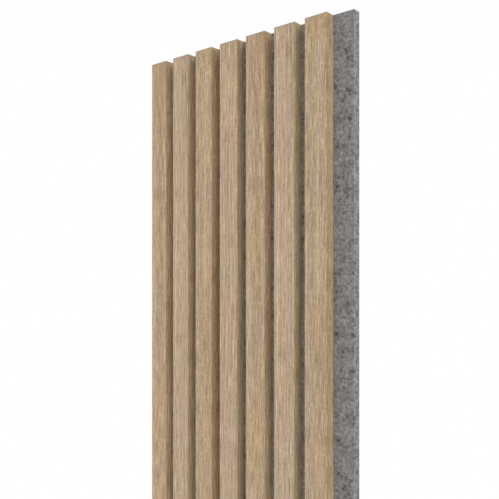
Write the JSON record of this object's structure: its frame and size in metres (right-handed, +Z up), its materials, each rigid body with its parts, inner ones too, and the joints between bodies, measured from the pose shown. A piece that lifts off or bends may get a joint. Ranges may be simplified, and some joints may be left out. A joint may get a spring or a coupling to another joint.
{
  "type": "acoustic slat panel",
  "caption": "Tall wall panel of upright oak-veneered slats on a grey felt board, with grooves between the slats and a bare felt lip along one side.",
  "frame": {"origin": "middle of the bottom edge of the felt board's back face, on the wall's surface", "axes": "+Z up along the slats, +Y into the wall, -Y out into the room (the slats' side), +X towards the bare felt lip"},
  "size_m": [0.2916, 0.022, 2.4],
  "materials": {
    "felt": "mottled grey pressed polyester felt",
    "oak_veneer": "light oak veneer, straight grain, matt lacquer",
    "fibreboard": "sawn medium density fibreboard",
    "staple_wire": "galvanised flat wire"
  },
  "bodies": {
    "root": {"felt_backing": "felt", "slat_core_1": "fibreboard", "slat_core_2": "fibreboard", "slat_core_3": "fibreboard", "slat_core_4": "fibreboard", "slat_core_5": "fibreboard", "slat_core_6": "fibreboard", "slat_core_7": "fibreboard", "slat_veneer_1": "oak_veneer", "slat_veneer_2": "oak_veneer", "slat_veneer_3": "oak_veneer", "slat_veneer_4": "oak_veneer", "slat_veneer_5": "oak_veneer", "slat_veneer_6": "oak_veneer", "slat_veneer_7": "oak_veneer", "staples": "staple_wire"}
  },
  "joints": []
}
